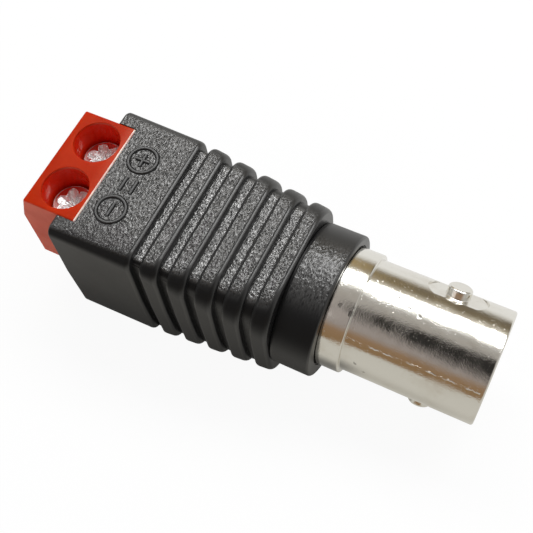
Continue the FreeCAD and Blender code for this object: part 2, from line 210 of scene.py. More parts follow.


# %% [markdown]
# ### Black moulded plastic
#
# The mould of the sleeve was etched on its top half only, so the top and the ribs have a leather
# grain that glitters, and the sides are smooth. The grain's height is multiplied by how much the
# surface faces up. Its cells are stretched round the collar. Its hollows are darker than its
# crests, a painted shade. Its crests shine, most of all on the floors of the grooves, where they
# also get a
# paler colour: a painted highlight. On the near side of the block's top the crests are dimmer and
# shine less.

# %% Black plastic
BLOCK_END, RIBS_FROM, COLLAR_FROM = -0.0288, -0.02875, -0.0167
TOP_HEIGHT, TOP_FALL = 0.00666, -0.0594
ACROSS_TOP, ROUND_COLLAR = 0.68, 0.45
# HOLLOW is the plastic's black and a painted shade in the grain's hollows; the last colour is a
# painted highlight on the groove floors.
HOLLOW, CREST, GROOVE_PAINTED_HIGHLIGHT = (0.010, 0.010, 0.0102), (0.042, 0.042, 0.042), (0.085, 0.085, 0.085)
DUST = (0.05, 0.049, 0.047)


def black_plastic(name, grained, plain_shine=0.5):
    """Black plastic that is etched where it faces up, or plain all over if grained is 0."""
    material, tree, shader, place = finish(name, 0.42, colour=(0.016, 0.016, 0.0165))
    along, across, up = parts_of(tree, place.outputs["Normal"])
    x, y, z = parts_of(tree, place.outputs["Object"])
    on_collar = x.above(COLLAR_FROM)
    edge = along.do("ABSOLUTE").ramp(0.1, 0.35)
    sideways = across.most(across * -0.62).do("ABSOLUTE").ramp(0.22, 0.5)
    etched = up.ramp(0.72, 0.94) * sideways.rest() * edge.rest() * grained
    etched = etched * chosen(on_collar, 0.72, 1.0)

    spot = vector(tree, x, y * chosen(on_collar, ROUND_COLLAR, ACROSS_TOP),
                  z * chosen(on_collar, ROUND_COLLAR, 1.0))
    cells = add(tree, "ShaderNodeTexVoronoi", Vector=spot, Scale=5200.0)
    wrinkles = add(tree, "ShaderNodeTexNoise", Vector=spot, Scale=5400.0, Detail=2.0,
                   Roughness=0.6, Distortion=1.2)
    leather = cells * 0.8 + wrinkles
    scuffs = noise(tree, place, 900.0, 4.0, 0.6)
    bump(tree, shader, leather * etched + scuffs * 0.04, 1.0, 0.0001)

    crest = chosen(etched, leather.ramp(0.55, 1.0), 0.5)
    below_top = (x - RIBS_FROM) * TOP_FALL + TOP_HEIGHT - z
    # A painted highlight on the groove floors: paler crests and more shine.
    painted_groove_light = below_top.ramp(0.0004, 0.0006) * x.above(BLOCK_END) * on_collar.rest() * etched
    # The crests are dimmer and shine less on the near side of the block's top.
    retinted = y.ramp(-0.0068, -0.003).rest() * x.below(BLOCK_END) * 0.75
    near_corner = (across * -1.0).ramp(0.25, 0.6) * up.ramp(0.2, 0.6)
    shine = etched * (crest - 0.1) * retinted.rest() + edge * 0.25 + painted_groove_light * 0.8 + 0.5
    shine = shine * (near_corner * 0.8).rest()
    shine = shine * grained + (1.0 - grained) * plain_shine
    plug(tree, shine, shader.inputs["Specular IOR Level"])
    mottled = noise(tree, place, 260.0)
    rough = mottled * 0.12 + etched * -0.16 - edge * 0.07 + 0.36
    plug(tree, rough, shader.inputs["Roughness"])

    # Painted shade: the grain's hollows keep the darker colour and its crests get the paler one.
    colour = blend(tree, crest * etched * retinted.rest(), HOLLOW, CREST)
    # Painted highlight: the crests on the groove floors get a paler colour.
    colour = blend(tree, painted_groove_light * crest, colour, GROOVE_PAINTED_HIGHLIGHT)
    dusty = noise(tree, place, 2600.0, 5.0, 0.7).ramp(0.62, 0.9) * 0.35
    plug(tree, blend(tree, dusty, colour, DUST), shader.inputs["Base Color"])
    return material


# %% [markdown]
# ### Red nylon
#
# The terminal housing is glossy and lets a little light in. Its side turns pale, to a greyish pink
# where the surface faces sideways: partly dust, partly a painted reflection of the white paper. The
# screw wells get a brighter red, a painted glow, and the front edge of the top gets a pale line
# that shines, a painted highlight.

# %% Red plastic
MM = 0.001
WELL_X, POLE_Y, WELL_R = -37.08, 2.5, 2.02
EDGE_X, EDGE_Z = -0.03476, 0.00658
# The wells' red is a painted glow, the pale edge colour a painted highlight, and the greyish pink
# side colour is dust with a painted reflection of the white paper.
RED, BRIGHT_RED, WELL_PAINTED_GLOW = (0.38, 0.019, 0.002), (0.44, 0.026, 0.003), (0.66, 0.022, 0.004)
PALE_RED, EDGE_PAINTED_HIGHLIGHT, DUST_AND_PAINTED_REFLECTION = (0.56, 0.12, 0.07), (0.80, 0.62, 0.54), (0.68, 0.18, 0.12)


def red_plastic():
    material, tree, shader, place = finish("red_glossy_nylon", 0.3)
    shader.inputs["Subsurface Weight"].default_value = 0.25
    shader.inputs["Subsurface Radius"].default_value = (0.0015, 0.0002, 0.0001)
    shader.inputs["Subsurface Scale"].default_value = 1.0
    across, up = parts_of(tree, place.outputs["Normal"])[1:]
    x, y, z = parts_of(tree, place.outputs["Object"])
    from_axis = ((x - WELL_X * MM).do("POWER", 2.0)
                 + (y.do("ABSOLUTE") - POLE_Y * MM).do("POWER", 2.0))
    in_well = from_axis.below(((WELL_R + 0.08) * MM) ** 2) * z.ramp(0.0063, 0.0066).rest()
    side = (across * -1.0).ramp(0.6, 0.95) * in_well.rest()
    front_edge = x.above(EDGE_X) * z.above(EDGE_Z)

    cloud = noise(tree, place, 420.0, 4.0)
    colour = blend(tree, cloud.ramp(0.3, 0.7), RED, BRIGHT_RED)
    # A painted glow: the walls of the wells get a brighter red.
    colour = blend(tree, in_well, colour, WELL_PAINTED_GLOW)
    paler = x.ramp(-0.0357, -0.0348) * y.ramp(-0.005, 0.005) * 0.35
    colour = blend(tree, paler, colour, PALE_RED)
    # A painted highlight: the front edge of the top turns pale and shines.
    retinted = front_edge * (noise(tree, place, 1300.0).ramp(0.3, 0.6) * 0.5 + 0.5)
    colour = blend(tree, retinted, colour, EDGE_PAINTED_HIGHLIGHT)
    # Dust and a painted reflection of the white paper turn the near side a greyish pink.
    side_dust_and_painted_reflection = side * (cloud.ramp(0.25, 0.75) * 0.2 + 0.5)
    plug(tree, blend(tree, side_dust_and_painted_reflection, colour, DUST_AND_PAINTED_REFLECTION), shader.inputs["Base Color"])

    shine = up.ramp(0.9, 0.99) * -0.06 + front_edge * 0.7 + 0.09
    plug(tree, shine, shader.inputs["Specular IOR Level"])
    rough = noise(tree, place, 1500.0) * 0.12 + side * 0.2 + 0.22
    plug(tree, rough, shader.inputs["Roughness"])
    ripple = noise(tree, place, 700.0) * 0.6 + noise(tree, place, 6000.0, 2.0) * 0.15
    bump(tree, shader, ripple, 0.35, 0.00003)
    return material


# %% [markdown]
# ### Nickel plate on a casting
#
# The barrel is die-cast and plated. It reflects like a mirror, but the casting under the plate is
# not quite even: fine orange peel breaks up the edges of each reflection, and there are small pits.
# The list has the larger flaws: the centre in mm, the radius of a clean middle, and the radius.
# A flaw is dark, and where the lamp lights the metal it gets a deeper, painted shade.

# %% Nickel, zinc and the metals inside
PLATE, TARNISH, FLAW_DARK_AND_PAINTED_SHADE = (0.80, 0.785, 0.74), (0.62, 0.57, 0.49), (0.05, 0.045, 0.04)
FLAWS = (((-7.54, 0.1, 4.82), 0.18, 0.32), ((-6.6, -0.43, 4.8), 0.0, 0.2),
         ((-8.6, 0.4, 4.8), 0.0, 0.12), ((-12.43, -2.07, 4.77), 0.0, 0.22),
         ((-11.35, -2.3, 4.6), 0.0, 0.3), ((-11.3, -1.9, 4.9), 0.0, 0.16),
         ((-10.03, -4.68, 1.2), 0.0, 0.16), ((-9.2, -4.79, 0.5), 0.0, 0.1))


def casting_flaws(tree, place):
    """1 on a flaw in the casting and 0 elsewhere. The edges are soft and uneven."""
    total = None
    uneven = noise(tree, place, 5000.0) * 0.0004 - 0.0002
    for centre, inner, outer in FLAWS:
        reach = against(tree, "DISTANCE", place.outputs["Object"], Vector(centre) * MM) + uneven
        spot = reach.ramp(outer * 0.0006, outer * 0.001).rest()
        if inner:
            spot = spot * reach.ramp(inner * 0.0006, inner * 0.001)
        total = spot if total is None else total.most(spot)
    return total


def nickel_plate():
    material, tree, shader, place = finish("nickel_plate", 0.12, 1.0, (0.78, 0.76, 0.71))
    peel = noise(tree, place, 7000.0, 3.0, 0.6)
    grit = noise(tree, place, 11000.0, 2.0, 0.6) * noise(tree, place, 420.0).ramp(0.38, 0.6)
    swell = noise(tree, place, 700.0, 2.0)
    pits = noise(tree, place, 5200.0, 2.0, 0.4).ramp(0.25, 0.3)
    flaws = casting_flaws(tree, place)
    height = peel * 0.45 + grit * 0.9 + swell * 0.5 + pits * 0.45 + flaws * -0.8
    bump(tree, shader, height, 0.4, 0.00003)
    rough = noise(tree, place, 2400.0, 4.0) * 0.08 + 0.06
    plug(tree, rough, shader.inputs["Roughness"])
    tarnished = noise(tree, place, 350.0, 5.0, 0.6).ramp(0.45, 0.8) * 0.5
    colour = blend(tree, tarnished, PLATE, TARNISH)
    # Painted shade: a flaw is darker still where the lamp's reflection lies on the metal.
    painted_shade_in_lamplight = parts_of(tree, place.outputs["Object"])[1].ramp(-0.0003, -0.0002) * 0.52
    colour = blend(tree, flaws * (painted_shade_in_lamplight + 0.45), colour, FLAW_DARK_AND_PAINTED_SHADE)
    plug(tree, colour, shader.inputs["Base Color"])
    return material


def plated(name, light, dark, rough, scale, dents=0.0, metallic=1.0):
    """A plated metal with a little tarnish and fine scratches, and dents if it was punched."""
    material, tree, shader, place = finish(name, rough, metallic)
    patches = noise(tree, place, scale, 4.0, 0.6).ramp(0.35, 0.75)
    plug(tree, blend(tree, patches, light, dark), shader.inputs["Base Color"])
    plug(tree, noise(tree, place, scale * 3.0) * 0.15 + rough, shader.inputs["Roughness"])
    scratches = noise(tree, place, scale * 6.0) * 0.25
    bump(tree, shader, scratches + noise(tree, place, scale * 1.8) * dents, 1.0, 0.00002)
    return material


def white_plastic():
    material, tree, shader, place = finish("white_insulator", 0.35)
    cloud = noise(tree, place, 500.0, 4.0)
    colour = blend(tree, cloud, (0.74, 0.72, 0.66), (0.82, 0.81, 0.77))
    plug(tree, colour, shader.inputs["Base Color"])
    plug(tree, noise(tree, place, 1800.0) * 0.15 + 0.28, shader.inputs["Roughness"])
    bump(tree, shader, noise(tree, place, 2500.0, 2.0), 0.15, 0.00002)
    return material


black = black_plastic("black_moulded_plastic", 1.0)
black_smooth = black_plastic("black_plastic_without_grain", 0.0, 0.66)
# A dull copy of the plain black for the narrow foot round the marks: a painted shade.
black_painted_shade = black_plastic("black_plastic_painted_shade_at_the_marks_foot", 0.0, 0.04)
red = red_plastic()
nickel = nickel_plate()
zinc = plated("zinc_plate", (0.80, 0.80, 0.78), (0.70, 0.69, 0.66), 0.02, 1600.0)
# The recess's zinc is paler and bluer than the head's: partly torn metal, partly painted light.
torn_and_painted_bright_zinc = plated("punched_zinc_and_painted_light", (0.90, 0.96, 0.96), (0.80, 0.86, 0.87), 0.14, 2400.0,
                   dents=6.0, metallic=0.7)
tinned = plated("tinned_brass", (0.72, 0.70, 0.66), (0.55, 0.52, 0.47), 0.25, 900.0)
gold = plated("gold_plate", (0.86, 0.62, 0.26), (0.72, 0.50, 0.20), 0.18, 900.0)
white = white_plastic()
print("finishes:", len(bpy.data.materials))

# %% [markdown]
# ### The pieces that stay as they are
#
# The record says what each CAD piece is made of. The ten inner pieces keep their CAD shape and
# only get that finish. The five outer ones are made anew further down.

# %% Put the finishes on the CAD pieces that stay
finish_of = {"black_plastic": black, "red_plastic": red, "nickel": nickel, "zinc_plate": zinc,
             "tinned_metal": tinned, "gold_plate": gold, "white_insulator": white}
for part in frame["record"]["subparts"]:
    piece = frame["nodes"][part["node"]]
    piece.data.materials.clear()
    piece.data.materials.append(finish_of[part["material_slot"]])

# %% [markdown]
# ## Making meshes
#
# The metal parts are turned or cast and the housing is a moulded block with holes, so two ways of
# working cover them: a profile that is turned round an axis, and cutters that are taken away with
# a boolean. All sizes below are in millimetres, as on a drawing, and MM brings them to metres.
# Corners of a profile are rounded by an arc, because no real edge is perfectly sharp.

# %% Profiles, turning and cutting
SHARP = math.radians(12)
QUARTER = math.pi / 2


def rounded(corners, steps=10):
    """Points of a closed outline whose corners (a, b, radius) are turned into arcs."""
    points = []
    for i, (a, b, radius) in enumerate(corners):
        here = Vector((a, b))
        before = (Vector(corners[i - 1][:2]) - here).normalized()
        after = (Vector(corners[(i + 1) % len(corners)][:2]) - here).normalized()
        if radius == 0:
            points.append(here)
            continue
        half = before.angle(after) / 2
        centre = here + (before + after).normalized() * (radius / math.sin(half))
        start = here + before * (radius / math.tan(half)) - centre
        end = here + after * (radius / math.tan(half)) - centre
        for k in range(steps + 1):
            points.append(centre + start.slerp(end, k / steps) * start.length)
    return points


def in_scene(name, data):
    """An object in the scene that shows this data."""
    item = bpy.data.objects.new(name, data)
    bpy.context.scene.collection.objects.link(item)
    return item


def piece_from(name, verts, faces):
    """A piece at the origin from points in millimetres."""
    mesh = bpy.data.meshes.new(name)
    mesh.from_pydata([Vector(v) * MM for v in verts], [], faces)
    mesh.update()
    return in_scene(name, mesh)


def face_outward(piece):
    """Weld points that lie on each other and turn every face's front outward."""
    work = bmesh.new()
    work.from_mesh(piece.data)
    bmesh.ops.remove_doubles(work, verts=work.verts, dist=2e-7)
    bmesh.ops.recalc_face_normals(work, faces=work.faces)
    work.to_mesh(piece.data)
    work.free()
    return piece


def turned(name, outline, segments=288, along="X", centre=(0.0, 0.0)):
    """Turn an outline of (length, radius) points round the X axis, or round an upright axis."""
    verts, faces = [], []
    count = len(outline)
    closed = outline[0][1] > 0 or outline[-1][1] > 0
    for k in range(segments):
        angle = 2 * math.pi * k / segments
        for length, radius in outline:
            side, up = radius * math.cos(angle), radius * math.sin(angle)
            verts.append((length, side, up) if along == "X"
                         else (centre[0] + side, centre[1] + up, length))
    for k in range(segments):
        for i in range(count if closed else count - 1):
            j = (i + 1) % count
            faces.append((k * count + i, k * count + j,
                          (k + 1) % segments * count + j, (k + 1) % segments * count + i))
    return face_outward(piece_from(name, verts, faces))


def walls(count, rows):
    """Faces that join rings of count points, each ring to the next."""
    return [(row + i, row + (i + 1) % count, row + count + (i + 1) % count, row + count + i)
            for row in range(0, rows * count, count) for i in range(count)]


def prism(name, outline, low, high, along="Z"):
    """A straight solid over an outline: along Z, or along Y for an outline of (x, z) points."""
    count = len(outline)
    verts = [(a, b, level) if along == "Z" else (a, level, b)
             for level in (low, high) for a, b in outline]
    faces = [tuple(range(count)), tuple(range(2 * count - 1, count - 1, -1))]
    return face_outward(piece_from(name, verts, faces + walls(count, 1)))


def block(name, x, y, z):
    """A box from its two ends along each axis."""
    return prism(name, [(x[0], y[0]), (x[1], y[0]), (x[1], y[1]), (x[0], y[1])], z[0], z[1])


def join(piece, others, operation):
    """Cut the others out of a piece, or fuse them to it, and throw them away."""
    for other in others:
        step = piece.modifiers.new("step", "BOOLEAN")
        step.operation = operation
        step.solver = "EXACT"
        step.object = other
        baked(piece)
        bpy.data.objects.remove(other)


def baked(piece):
    """Turn a piece's modifiers into its plain mesh."""
    graph = bpy.context.evaluated_depsgraph_get()
    mesh = bpy.data.meshes.new_from_object(piece.evaluated_get(graph), depsgraph=graph)
    piece.modifiers.clear()
    old, piece.data = piece.data, mesh
    bpy.data.meshes.remove(old)
    return piece


def finished(piece, finishes, node, body="base"):
    """Smooth the piece between its real edges, dress it, and let it stand in for its CAD node."""
    mesh = piece.data
    slots = [min(face.material_index, len(finishes) - 1) for face in mesh.polygons]
    mesh.materials.clear()
    for item in finishes:
        mesh.materials.append(item)
    mesh.polygons.foreach_set("material_index", slots)
    mesh.polygons.foreach_set("use_smooth", [True] * len(mesh.polygons))
    mesh.set_sharp_from_angle(angle=SHARP)
    mesh.update()
    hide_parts(node)
    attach(piece, body)
    print(piece.name, len(mesh.polygons), "faces")


# %% [markdown]
# ## The sleeve
#
# The sleeve is one moulding with a rule in it: a plain block, five ribs that shrink and get rounder
# toward the jack, and a round collar. A Geometry Nodes tree shows that rule: it lays a grid of
# points and moves each one to its place by formula. Eighteen rings of points make one rib: two on
# the floor of its groove, seven round its back edge and nine round its front edge. The block and
# the collar are the same kind of rib, only longer. An edge is a quarter of an ellipse: EDGE says
# how far it goes in, and LONG how far it goes along the jack.

# %% Sizes of the sleeve
BLOCK_BACK, GROOVE_FROM, COLLAR_FRONT, BLOCK_TOP = -36.4, -28.75, -13.3, 6.66
SLEEVE_SIZES = {"Ribs": 5.0, "Pitch": 2.39, "Groove width": 0.85, "Groove depth": 0.72,
                "Block half width": 6.8, "Block half height": BLOCK_TOP,
                "Nose half width": 6.58, "Nose half height": 5.95, "Side draft": 0.16}
RINGS, BACK_FROM, FRONT_FROM, ARC_POINTS = 18, 2, 9, 25
BLOCK_EDGE, BLOCK_FRONT_EDGE, COLLAR_EDGE = 0.3, 0.28, 0.22
BACK_EDGE, BACK_LONG, FRONT_EDGE, FRONT_LONG = 0.22, 0.4, 0.27, 0.44


def step_along(ring, size):
    """Where a ring stands along X, how far it is drawn in, and what it belongs to."""
    rib = (ring / RINGS).do("FLOOR") - 1.0
    k = ring - (rib + 1.0) * RINGS
    plain, round_end = rib.below(-0.5), rib.above(size["Ribs"] - 0.5)
    start = rib * size["Pitch"] + GROOVE_FROM
    nose = size["Ribs"] * size["Pitch"] + GROOVE_FROM
    back = chosen(plain, BLOCK_BACK, chosen(round_end, nose, start + size["Groove width"]))
    floor_from = chosen(plain, BLOCK_BACK, chosen(round_end, nose, start))
    front = chosen(plain, GROOVE_FROM, chosen(round_end, COLLAR_FRONT, start + size["Pitch"]))
    back_edge = chosen(plain, BLOCK_EDGE, BACK_EDGE)
    back_long = chosen(plain, BLOCK_EDGE, BACK_LONG)
    front_edge = chosen(plain, BLOCK_FRONT_EDGE, chosen(round_end, COLLAR_EDGE, FRONT_EDGE))
    front_long = chosen(round_end, COLLAR_EDGE, FRONT_LONG)
    on_floor, on_front = k.below(BACK_FROM - 0.5), k.above(FRONT_FROM - 0.5)
    turn_back = (k - BACK_FROM) / (FRONT_FROM - 1 - BACK_FROM) * QUARTER
    turn_front = (k - FRONT_FROM) / (RINGS - 1 - FRONT_FROM) * QUARTER
    x = chosen(on_floor, floor_from + k * (back - floor_from),
               chosen(on_front, front - front_long * turn_front.do("SINE").rest(),
                      back + back_long * turn_back.do("COSINE").rest()))
    floor_depth = (size["Groove depth"] * (plain + round_end).rest()
                   + plain * BLOCK_EDGE + round_end * BACK_EDGE)
    drawn_in = chosen(on_floor, floor_depth,
                      chosen(on_front, front_edge * turn_front.do("COSINE").rest(),
                             back_edge * turn_back.do("SINE").rest()))
    return x, drawn_in, on_floor, round_end, nose


# %% [markdown]
# Across the jack's axis each ring is a rectangle with round corners. A quarter of it has one point
# in the middle of the side and then an arc, and the same formula gives both: the factor `middle`
# switches the side's point on. For the collar the corner's two radii grow to the full half width
# and half height, and the rectangle becomes an oval. The grooves get shallower toward the bottom,
# and the sections toward the jack sit a little nearer to the near side.

# %% Where a ring's points stand
COLLAR_HALF_W, COLLAR_HALF_H = 6.35, 5.85
COLLAR_SHIFT, NOSE_SHIFT = -0.15, -0.12
UPPER_R, UPPER_TO_BACK, UPPER_TO_NOSE = 1.3, -0.4, 2.5
LOWER_R, LOWER_TO_NOSE = 1.0, 2.3
BACK_WIDER, SHALLOWER, GROOVE_CORNER, LEAST_CORNER = 0.07, 0.4, 0.8, 0.3


def section(x, drawn_in, on_floor, round_end, nose, step, size):
    """Y and Z of the point number step of the ring at x."""
    behind = x.below(GROOVE_FROM + 0.001)
    t_back = ((x - GROOVE_FROM) / (BLOCK_BACK - GROOVE_FROM)) * behind
    t_nose = ((x - GROOVE_FROM) / (nose - GROOVE_FROM)) * behind.rest()
    wide, high = size["Block half width"], size["Block half height"]
    half_w = t_back * BACK_WIDER + t_nose * (size["Nose half width"] - wide) + wide
    half_h = t_nose * (size["Nose half height"] - high) + high
    upper = t_back * UPPER_TO_BACK + t_nose * UPPER_TO_NOSE + UPPER_R
    lower = t_nose * LOWER_TO_NOSE + LOWER_R
    shift = chosen(round_end, COLLAR_SHIFT, t_nose * NOSE_SHIFT)
    quarter = (step / ARC_POINTS).do("FLOOR")
    on_arc = step - quarter * ARC_POINTS
    middle = on_arc.below(0.5)
    angle = ((on_arc - 1.0).most(0.0) / (ARC_POINTS - 2) + quarter) * QUARTER
    cosine, sine = angle.do("COSINE"), angle.do("SINE")
    drawn_in = drawn_in * ((sine * -1.0).ramp(-0.3, 0.8) * on_floor * SHALLOWER).rest()
    half_w = chosen(round_end, COLLAR_HALF_W, half_w) - drawn_in
    half_h = chosen(round_end, COLLAR_HALF_H, half_h) - drawn_in
    in_top = quarter.below(1.5)
    east = (quarter - 1.5).do("ABSOLUTE").above(1.0) * 2.0 - 1.0
    north = in_top * 2.0 - 1.0
    tighter = chosen(on_floor * round_end.rest(), GROOVE_CORNER, 1.0)
    corner = ((chosen(in_top, upper, lower) - drawn_in) * tighter).most(LEAST_CORNER)
    reach_y, reach_z = chosen(round_end, half_w, corner), chosen(round_end, half_h, corner)
    y = east * (half_w - reach_y) * (middle * sine.do("ABSOLUTE")).rest() + reach_y * cosine
    z = north * (half_h - reach_z) * (middle * cosine.do("ABSOLUTE")).rest() + reach_z * sine
    draft = z.do("ABSOLUTE") / half_h * round_end.rest() * size["Side draft"] / half_w
    return y * draft.rest() + shift, z


# %% [markdown]
# A tree's inputs have names, so its sizes can be changed from outside. It runs as a modifier on
# an empty mesh, and what it makes is kept as a plain mesh without that modifier.

# %% Starting, ending and running a tree
def new_tree(name, sizes):
    """A geometry tree with named number inputs and one geometry outlet."""
    tree = bpy.data.node_groups.new(name, "GeometryNodeTree")
    tree.interface.new_socket("Geometry", in_out="INPUT", socket_type="NodeSocketGeometry")
    for key, value in sizes.items():
        socket = tree.interface.new_socket(key, in_out="INPUT", socket_type="NodeSocketFloat")
        socket.default_value = value
    tree.interface.new_socket("Geometry", in_out="OUTPUT", socket_type="NodeSocketGeometry")
    inlet = tree.nodes.new("NodeGroupInput")
    return tree, {key: Value(tree, inlet.outputs[key]) for key in sizes}


def end_tree(tree, geometry, material):
    """Close a tree: make instances real, dress them and hand them out."""
    real = add(tree, "GeometryNodeRealizeInstances", Geometry=geometry)
    dressed = add(tree, "GeometryNodeSetMaterial", Geometry=real, Material=material)
    outlet = tree.nodes.new("NodeGroupOutput")
    tree.links.new(dressed.socket, outlet.inputs[0])


def grown(name, tree, sizes):
    """Run a tree on an empty mesh with these sizes and keep what it makes as a plain mesh."""
    piece = in_scene(name, bpy.data.meshes.new(name))
    grow = piece.modifiers.new("grow", "NODES")
    grow.node_group = tree
    for item in tree.interface.items_tree:
        if item.in_out == "INPUT" and item.name in sizes:
            grow[item.identifier] = float(sizes[item.name])
    return baked(piece)


# %% [markdown]
# The sleeve's tree numbers the points of its grid by ring and by step round the ring. The first
# and the last ring shrink to a point on the axis, which closes the ends.

# %% The tree that makes the sleeve's body
def sleeve_tree():
    tree, size = new_tree("ribbed_sleeve", SLEEVE_SIZES)
    rings = (size["Ribs"] + 2.0) * RINGS + 2.0
    around = 4 * ARC_POINTS + 1
    grid = add(tree, "GeometryNodeMeshGrid", Vertices_X=rings, Vertices_Y=around)
    u, v, _ = parts_of(tree, tree.nodes.new("GeometryNodeInputPosition").outputs[0])
    ring = ((u + 0.5) * (rings - 1.0)).do("ROUND")
    step = ((v + 0.5) * (around - 1)).do("ROUND").do("MODULO", float(around - 1))
    is_open = ring.above(0.5) * ring.below(rings - 1.5)
    x, *where = step_along((ring - 1.0).most(0.0).least(rings - 3.0), size)
    y, z = section(x, *where, step, size)
    moved = add(tree, "GeometryNodeSetPosition", Geometry=grid,
                Position=vector(tree, x * MM, y * is_open * MM, z * is_open * MM))
    welded = add(tree, "GeometryNodeMergeByDistance", Geometry=moved, Distance=0.002 * MM)
    end_tree(tree, welded, black)
    return tree


# %% [markdown]
# The marks at the terminal are raised lines in the mould: a plus and a minus, each in a circle, and
# two short dashes between them. Each line is a curve with a round section whose top is cut flat.
# One tree makes the line's shining ridge and, with other sizes, the dull narrow foot round it: a
# painted shade at the line's foot.

# %% Raised marks
MARK_X, PLUS_Y, MINUS_Y, CIRCLE_R = -32.45, 2.45, -2.75, 1.24
DASH_LENGTH, DASHES_X, DASHES_Y = 1.35, (-32.8, -31.8), -0.2
RIDGE = {"Width": 0.27, "Rise": 0.12}
# The foot is a thin dull sheet round each line, a painted shade at its foot.
PAINTED_SHADE_FOOT = {"Width": 0.4, "Rise": 0.015}


def mark_tree():
    tree, size = new_tree("raised_line", {"Length": 1.3, "Turn": 0.0, "Radius": 0.0,
                                          "At X": 0.0, "At Y": 0.0, **RIDGE})
    half = size["Length"] * 0.5 * MM
    line = add(tree, "GeometryNodeCurvePrimitiveLine", Start=vector(tree, half * -1.0),
               End=vector(tree, half))
    circle = add(tree, "GeometryNodeCurvePrimitiveCircle", Resolution=72,
                 Radius=size["Radius"] * MM)
    pick = tree.nodes.new("GeometryNodeSwitch")
    pick.input_type = "GEOMETRY"
    for name, item in (("Switch", size["Radius"].above(0.0)), ("False", line), ("True", circle)):
        plug(tree, item, pick.inputs[name])
    rim = add(tree, "GeometryNodeCurvePrimitiveCircle", Resolution=24,
              Radius=size["Width"] * (0.5 * MM))
    swept = add(tree, "GeometryNodeCurveToMesh", Curve=pick.outputs[0], Profile_Curve=rim,
                Fill_Caps=True)
    x, y, z = parts_of(tree, tree.nodes.new("GeometryNodeInputPosition").outputs[0])
    flat = add(tree, "GeometryNodeSetPosition", Geometry=swept,
               Position=vector(tree, x, y, z.least(size["Rise"] * MM)))
    spot = vector(tree, size["At X"] * MM, size["At Y"] * MM, BLOCK_TOP * MM)
    placed = add(tree, "GeometryNodeTransform", Geometry=flat, Translation=spot,
                 Rotation=vector(tree, z=size["Turn"]))
    end_tree(tree, placed, black)
    return tree


def marks():
    """Every line of the marks: its mesh and the finish slot that it takes."""
    tree = mark_tree()
    places = [{"Length": DASH_LENGTH, "Turn": QUARTER, "At X": x, "At Y": DASHES_Y}
              for x in DASHES_X]
    for y, turns in ((PLUS_Y, (0.0, QUARTER)), (MINUS_Y, (QUARTER,))):
        places.append({"Radius": CIRCLE_R, "At X": MARK_X, "At Y": y})
        places += [{"Turn": turn, "At X": MARK_X, "At Y": y} for turn in turns]
    return [(grown("line", tree, {**place, **shape}), slot)
            for place in places for shape, slot in ((RIDGE, 1), (PAINTED_SHADE_FOOT, 2))]


# %% [markdown]
# The sleeve is hollow behind its face: a pocket holds the red housing, a room behind it holds the
# link wires, and a stepped bore holds the jack. They are cut with booleans, like the real cores.
# A last 0.02 mm is planed off the underside, so that the part stands on a true plane.

# %% The sleeve's body with its hollows
POCKET_Y, HOLLOW_FLOOR, UNDERSIDE = (-5.01, 5.01), -2.7, -6.64
BORE = [(-27.0, 0.0), (-27.0, 4.2), (-21.6, 4.2), (-21.6, 4.22), (-13.8, 4.22), (-13.8, 5.26),
        (-13.42, 5.26), (-13.42, 5.36), (-12.3, 5.36), (-12.3, 0.0)]


def sleeve():
    piece = face_outward(grown("sleeve", sleeve_tree(), SLEEVE_SIZES))
    cores = [block("pocket", (-37.4, -32.55), POCKET_Y, (HOLLOW_FLOOR, 4.75)),
             block("notch", (-37.4, -34.57), POCKET_Y, (HOLLOW_FLOOR, 7.6)),
             block("room", (-33.6, -26.0), (-3.9, 3.9), (HOLLOW_FLOOR, 3.6)),
             turned("bore", BORE, 192)]
    join(piece, cores, "DIFFERENCE")
    for vert in piece.data.vertices:
        vert.co.z = max(vert.co.z, UNDERSIDE * MM)
    whole = bmesh.new()
    whole.from_mesh(piece.data)
    for face in whole.faces:
        face.material_index = 0
    for line, slot in marks():
        before = len(whole.faces)
        whole.from_mesh(line.data)
        for face in list(whole.faces)[before:]:
            face.material_index = slot
        bpy.data.objects.remove(line)
    whole.to_mesh(piece.data)
    whole.free()
    finished(piece, (black, black_smooth, black_painted_shade), "body_sleeve")


sleeve()

# %% [markdown]
# ## The jack's barrel
#
# The barrel is a zinc casting with nickel on it: a tube, a ring behind it that stops against the
# sleeve, and two studs that a plug's slots lock on. A casting is never turned clean, so it keeps a
# low seam where the two halves of the mould met, and a small flat round the foot of each stud. The
# tube is turned from its profile in fine steps, because its broad reflections would show facets.
# The profile lists each corner's place along the jack, its radius and its rounding.

# %% Barrel
BARREL_R, STUD_X, STUD_ANGLE, FLAT_R = 4.825, -4.65, math.radians(49.5), 4.66
BARREL_PROFILE = [
    (-21.5, 3.2, 0), (-21.5, 4.2, 0.1), (-19.65, 4.2, 0), (-19.65, 3.75, 0), (-18.75, 3.75, 0),
    (-18.75, 4.2, 0), (-17.05, 4.2, 0), (-17.05, 3.75, 0), (-16.15, 3.75, 0), (-16.15, 4.2, 0),
    (-13.75, 4.2, 0), (-13.75, 5.2, 0.05), (-11.3, 5.2, 0.13), (-11.3, BARREL_R, 0.05),
    (0.0, BARREL_R, 0.2), (0.0, 4.22, 0.12), (-3.4, 4.22, 0.05), (-3.57, 4.05, 0.05),
    (-8.4, 4.05, 0.2), (-8.4, 2.42, 0), (-19.1, 2.42, 0), (-19.1, 3.2, 0)]


def about_jack(piece, angle):
    """Turn a piece built along +Y about the jack's axis."""
    piece.data.transform(Matrix.Rotation(angle, 4, "X"))
    return piece


